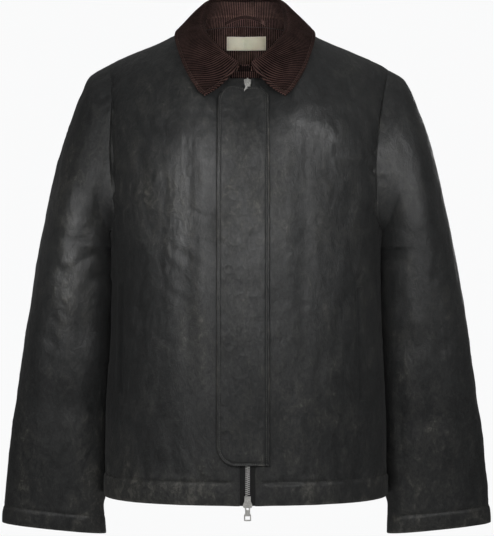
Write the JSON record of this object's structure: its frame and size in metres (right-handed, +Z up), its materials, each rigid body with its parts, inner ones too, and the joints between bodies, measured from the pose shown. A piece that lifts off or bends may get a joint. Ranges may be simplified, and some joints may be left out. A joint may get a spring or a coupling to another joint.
{
  "type": "waxed cotton jacket",
  "caption": "Hip-length waxed cotton jacket with a corduroy collar, set-in sleeves and a storm flap over its front zip, filled out as it is worn.",
  "frame": {"origin": "midway between the two shoulder points at the neck, where the wearer's shoulders hold the jacket", "axes": "+Z up, the jacket's front faces -Y, the wearer's left is +X"},
  "size_m": [0.7233, 0.294, 0.7962],
  "materials": {
    "waxed_cotton": "semi-matte waxed cotton, near black, with soft highlights and fine creases",
    "corduroy": "dark brown fine-wale corduroy, matt with a soft nap",
    "label_cloth": "cream woven label cloth, bare",
    "zip_tape": "black woven tape",
    "zip_metal": "worn silver-coloured metal"
  },
  "bodies": {
    "jacket": {"front_right": "waxed_cotton", "front_left": "waxed_cotton", "back": "waxed_cotton", "sleeve_right": "waxed_cotton", "sleeve_left": "waxed_cotton", "collar_fall": "corduroy", "collar_stand": "corduroy", "neck_band": "corduroy", "neck_facing": "corduroy", "hanger_loop": "corduroy", "neck_label": "label_cloth", "zip_tape_right": "zip_tape", "zip_tape_left": "zip_tape", "zip_chain": "zip_metal", "zip_slider_bottom": "zip_metal", "zip_slider_top": "zip_metal", "pull_tab_top": "zip_metal", "storm_flap": "waxed_cotton", "pocket_welt_left": "waxed_cotton", "pocket_welt_right": "waxed_cotton"},
    "pull_tab": {"pull_tab": "zip_metal"}
  },
  "joints": [
    {"name": "pull_tab_swing", "type": "hinge", "parent": "jacket", "child": "pull_tab", "pos_m": [0.0015, -0.15343, -0.67737], "axis": [-1, 0, 0], "range_deg": [0, 150]}
  ]
}
